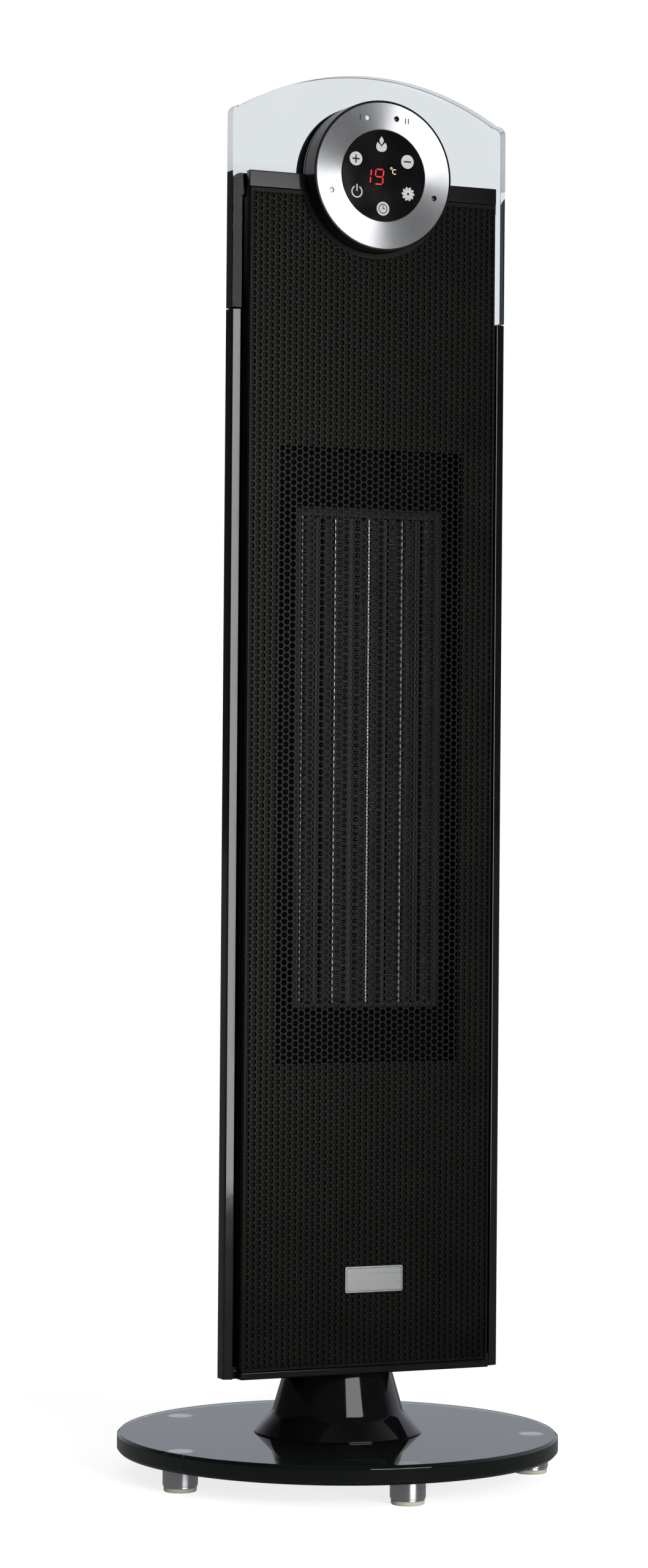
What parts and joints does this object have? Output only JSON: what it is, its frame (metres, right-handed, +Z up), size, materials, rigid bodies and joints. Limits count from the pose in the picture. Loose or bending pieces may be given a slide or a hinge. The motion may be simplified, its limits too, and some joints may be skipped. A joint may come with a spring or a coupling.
{
  "type": "tower heater",
  "caption": "Slim black tower heater with a perforated front, clear arched top panel and round dial, swinging on a flared neck over a round glass foot.",
  "frame": {"origin": "on the floor under the middle of the glass disc", "axes": "+Z up, the tower's front faces -Y, +X to the right as seen from the front"},
  "size_m": [0.2678, 0.4156, 0.74],
  "materials": {
    "dark_glass": "polished smoked glass with a green-black edge",
    "clear_plastic": "polished clear panel",
    "gloss_black": "piano black gloss",
    "satin_black": "fine satin texture",
    "black_sheet": "satin black paint on perforated sheet",
    "grey_plastic": "matt dark grey, heat resistant",
    "brushed_aluminium": "brushed",
    "fin_aluminium": "plain rolled sheet",
    "chrome": "turned and plated",
    "steel": "zinc plated",
    "brass": "machined",
    "nylon": "natural nylon",
    "cream_rubber": "matt cream rubber",
    "cord_black": "matt black sheath",
    "board": "green solder mask"
  },
  "bodies": {
    "base": {"glass_disc": "dark_glass", "foot_post_1": "chrome", "foot_post_2": "chrome", "foot_post_3": "chrome", "foot_post_4": "chrome", "foot_post_5": "chrome", "foot_pad_1": "cream_rubber", "foot_pad_2": "cream_rubber", "foot_pad_3": "cream_rubber", "foot_pad_4": "cream_rubber", "foot_pad_5": "cream_rubber", "neck": "gloss_black", "pivot_tube": "steel", "disc_clamp_nut": "steel", "swivel_bearing": "nylon", "swing_gear": "nylon", "cord_strain_relief": "cord_black", "mains_cord_lead": "cord_black", "mains_cord_hank": "cord_black", "mains_cord_tail": "cord_black", "cord_tie": "satin_black", "mains_plug": "cord_black"},
    "tower": {"tower_bottom_plate": "satin_black", "rear_housing": "satin_black", "inner_front_frame": "grey_plastic", "front_grille": "black_sheet", "bottom_rail": "gloss_black", "grille_cap_left": "gloss_black", "grille_cap_right": "gloss_black", "side_cover_left": "gloss_black", "side_cover_right": "gloss_black", "clear_panel": "clear_plastic", "badge_plate": "brushed_aluminium", "dial_housing": "gloss_black", "dial_ring": "brushed_aluminium", "touch_panel": "gloss_black", "dial_clamp_ring": "satin_black", "control_board": "board", "heater_frame": "grey_plastic", "fin_plate_1": "fin_aluminium", "fin_plate_2": "fin_aluminium", "fin_plate_3": "fin_aluminium", "fin_plate_4": "fin_aluminium", "fin_plate_5": "fin_aluminium", "heating_bar_1": "fin_aluminium", "heating_bar_2": "fin_aluminium", "heating_bar_3": "fin_aluminium", "heating_bar_4": "fin_aluminium", "thermal_cutout": "steel", "air_duct": "grey_plastic", "fan_motor": "steel", "rotor_bearing": "nylon", "swing_motor": "steel", "power_board": "board", "tilt_switch": "grey_plastic", "rocker_bezel": "satin_black"},
    "fan": {"fan_rotor": "grey_plastic"},
    "pinion": {"swing_pinion": "brass"},
    "rocker": {"power_rocker": "gloss_black"}
  },
  "joints": [
    {"name": "tower_swing", "type": "hinge", "parent": "base", "child": "tower", "pos_m": [0, 0, 0.057], "axis": [0, 0, 1], "range_deg": [-35, 35]},
    {"name": "fan_spin", "type": "hinge", "parent": "tower", "child": "fan", "pos_m": [0, 0.024, 0.38], "axis": [0, 0, 1], "continuous": true},
    {"name": "pinion_spin", "type": "hinge", "parent": "tower", "child": "pinion", "pos_m": [0, 0.03, 0.067], "axis": [0, 0, 1], "range_deg": [-141, 141]},
    {"name": "rocker_tip", "type": "hinge", "parent": "tower", "child": "rocker", "pos_m": [0, 0.0663, 0.104], "axis": [1, 0, 0], "range_deg": [-20, 0]}
  ],
  "couplings": [
    {"joint": "pinion_spin", "follows": "tower_swing", "ratio": 4}
  ]
}
